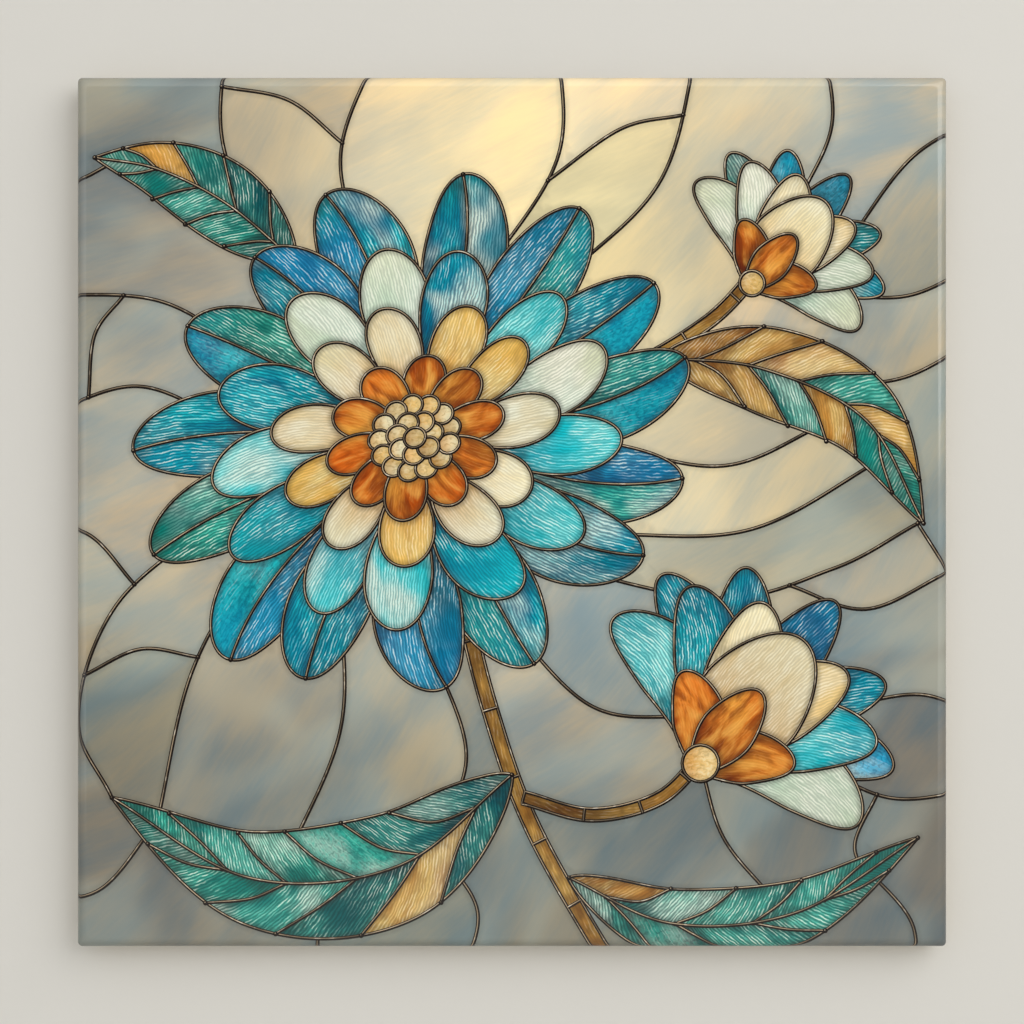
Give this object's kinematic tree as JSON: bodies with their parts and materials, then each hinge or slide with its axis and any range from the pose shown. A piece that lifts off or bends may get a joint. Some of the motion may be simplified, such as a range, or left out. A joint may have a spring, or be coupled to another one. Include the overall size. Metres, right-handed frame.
{
  "type": "decorative wall tile",
  "caption": "Square glazed ceramic wall tile with cushioned edges, a picture glazed in on its face and a grid of shallow keying pockets in its back.",
  "frame": {"origin": "middle of the back, in the plane of its rim and ribs, which is the plane that the adhesive bed meets", "axes": "+Z towards the top edge of the picture, -Y out of the glazed face towards the viewer, +X to the viewer's right"},
  "size_m": [0.1524, 0.0063, 0.1524],
  "materials": {
    "glaze": "clear gloss glaze over a many-coloured picture of leaded glass",
    "biscuit": "bare off-white fired clay, matt and slightly rough"
  },
  "bodies": {
    "root": {"tile": "glaze"}
  },
  "joints": []
}
